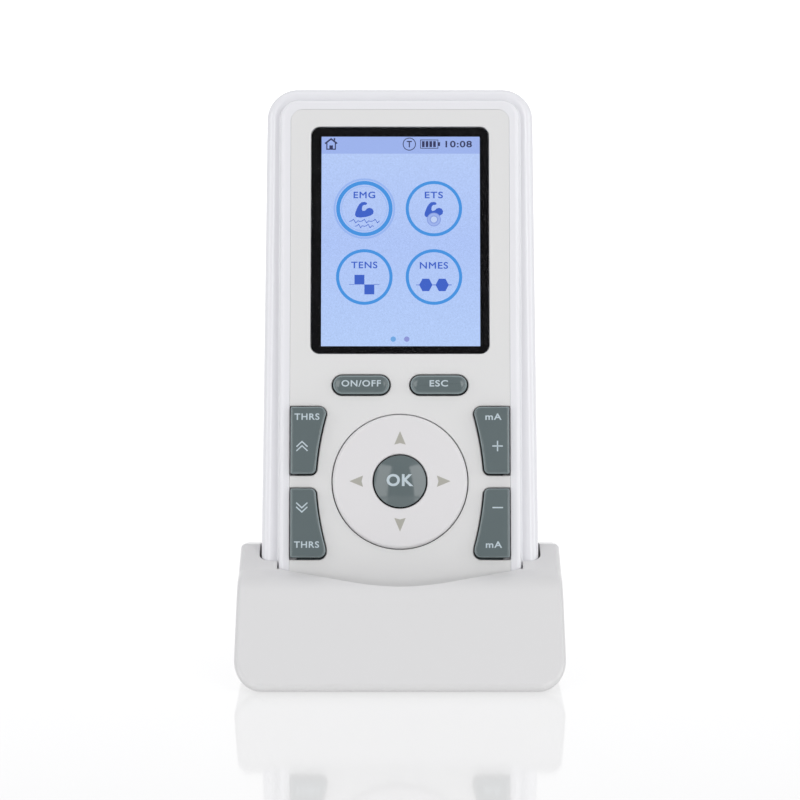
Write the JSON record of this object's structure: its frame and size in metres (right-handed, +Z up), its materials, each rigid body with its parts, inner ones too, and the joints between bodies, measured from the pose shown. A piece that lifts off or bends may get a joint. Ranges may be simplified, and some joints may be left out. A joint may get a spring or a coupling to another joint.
{
  "type": "tens unit",
  "caption": "Hand-held nerve and muscle stimulator with a lit screen, round direction ring and side keys, standing in its charging cradle.",
  "frame": {"origin": "middle of the rubber mat under the cradle, on the table", "axes": "+X to the user's right, +Y to the back, +Z up; the handset leans back in the YZ plane"},
  "size_m": [0.0736, 0.0789, 0.1297],
  "materials": {
    "casing_white": "gloss, moulded",
    "panel_white": "satin, painted",
    "key_grey": "gloss over grey-green",
    "ring_white": "satin",
    "window": "clear, hard coated",
    "mask_black": "printed black",
    "screen": "lit display",
    "light_guide": "milky",
    "steel": "plated",
    "flex": "polyimide",
    "silicone": "matt",
    "board": "solder mask",
    "chip": "moulded epoxy",
    "winding": "ferrite",
    "can": "sleeved can",
    "socket_black": "moulded",
    "gilt": "gold plated",
    "cell": "wrapped",
    "rubber_mat": "matt",
    "base_grey": "fine spark texture"
  },
  "bodies": {
    "cradle": {"cradle_shell": "casing_white", "base_plate": "base_grey", "foot_mat": "rubber_mat", "ballast_plate": "steel", "dc_inlet": "socket_black", "inlet_pin": "gilt", "base_screws": "steel", "contact_block": "socket_black", "cradle_board": "board"},
    "handset": {"front_shell": "casing_white", "rear_shell": "casing_white", "front_panel": "panel_white", "display_window": "window", "window_mask": "mask_black", "lcd_panel": "screen", "lcd_backlight": "light_guide", "lcd_frame": "steel", "lcd_flex": "flex", "keypad_mat": "silicone", "dome_switches": "steel", "main_board": "board", "processor": "chip", "output_transformers": "winding", "capacitors": "can", "buzzer": "chip", "lead_socket_left": "socket_black", "lead_socket_right": "socket_black", "board_screws": "steel", "case_screws": "steel", "charge_pads": "gilt", "battery_pack": "cell", "battery_contacts": "gilt"},
    "battery_door": {"battery_door": "casing_white", "door_screw": "steel"},
    "on_off_key": {"on_off_key": "key_grey"},
    "escape_key": {"escape_key": "key_grey"},
    "threshold_up_key": {"threshold_up_key": "key_grey"},
    "threshold_down_key": {"threshold_down_key": "key_grey"},
    "current_up_key": {"current_up_key": "key_grey"},
    "current_down_key": {"current_down_key": "key_grey"},
    "ok_key": {"ok_key": "key_grey"},
    "ring_pivot": {"ring_pivot": "silicone"},
    "direction_ring": {"direction_ring": "ring_white"},
    "contact_pin_left": {"contact_pin_left": "gilt"},
    "contact_pin_right": {"contact_pin_right": "gilt"}
  },
  "joints": [
    {"name": "handset_lift", "type": "slide", "parent": "cradle", "child": "handset", "axis": [0, 0.2716, 0.9624], "range_m": [0, 0.04]},
    {"name": "on_off_press", "type": "slide", "parent": "handset", "child": "on_off_key", "axis": [0, 0.9624, -0.2716], "range_m": [0, 0.0005], "stiffness_N_per_m": 1500},
    {"name": "escape_press", "type": "slide", "parent": "handset", "child": "escape_key", "axis": [0, 0.9624, -0.2716], "range_m": [0, 0.0005], "stiffness_N_per_m": 1500},
    {"name": "threshold_up_press", "type": "slide", "parent": "handset", "child": "threshold_up_key", "axis": [0, 0.9624, -0.2716], "range_m": [0, 0.0005], "stiffness_N_per_m": 1500},
    {"name": "threshold_down_press", "type": "slide", "parent": "handset", "child": "threshold_down_key", "axis": [0, 0.9624, -0.2716], "range_m": [0, 0.0005], "stiffness_N_per_m": 1500},
    {"name": "current_up_press", "type": "slide", "parent": "handset", "child": "current_up_key", "axis": [0, 0.9624, -0.2716], "range_m": [0, 0.0005], "stiffness_N_per_m": 1500},
    {"name": "current_down_press", "type": "slide", "parent": "handset", "child": "current_down_key", "axis": [0, 0.9624, -0.2716], "range_m": [0, 0.0005], "stiffness_N_per_m": 1500},
    {"name": "ok_press", "type": "slide", "parent": "handset", "child": "ok_key", "axis": [0, 0.9624, -0.2716], "range_m": [0, 0.0005], "stiffness_N_per_m": 1500},
    {"name": "ring_rock_up_down", "type": "hinge", "parent": "handset", "child": "ring_pivot", "pos_m": [0, 0.00073, 0.04134], "axis": [1, 0, 0], "range_deg": [-2, 2], "stiffness_Nm_per_rad": 0.6},
    {"name": "ring_rock_left_right", "type": "hinge", "parent": "ring_pivot", "child": "direction_ring", "pos_m": [0, 0.00073, 0.04134], "axis": [0, 0.2716, 0.9624], "range_deg": [-2, 2], "stiffness_Nm_per_rad": 0.6},
    {"name": "battery_door_hinge", "type": "hinge", "parent": "handset", "child": "battery_door", "pos_m": [0, 0.01815, 0.03715], "axis": [-1, 0, 0], "range_deg": [0, 70]},
    {"name": "contact_pin_left_press", "type": "slide", "parent": "cradle", "child": "contact_pin_left", "axis": [0, 0.2716, 0.9624], "range_m": [-0.001, 0], "stiffness_N_per_m": 300},
    {"name": "contact_pin_right_press", "type": "slide", "parent": "cradle", "child": "contact_pin_right", "axis": [0, 0.2716, 0.9624], "range_m": [-0.001, 0], "stiffness_N_per_m": 300}
  ]
}
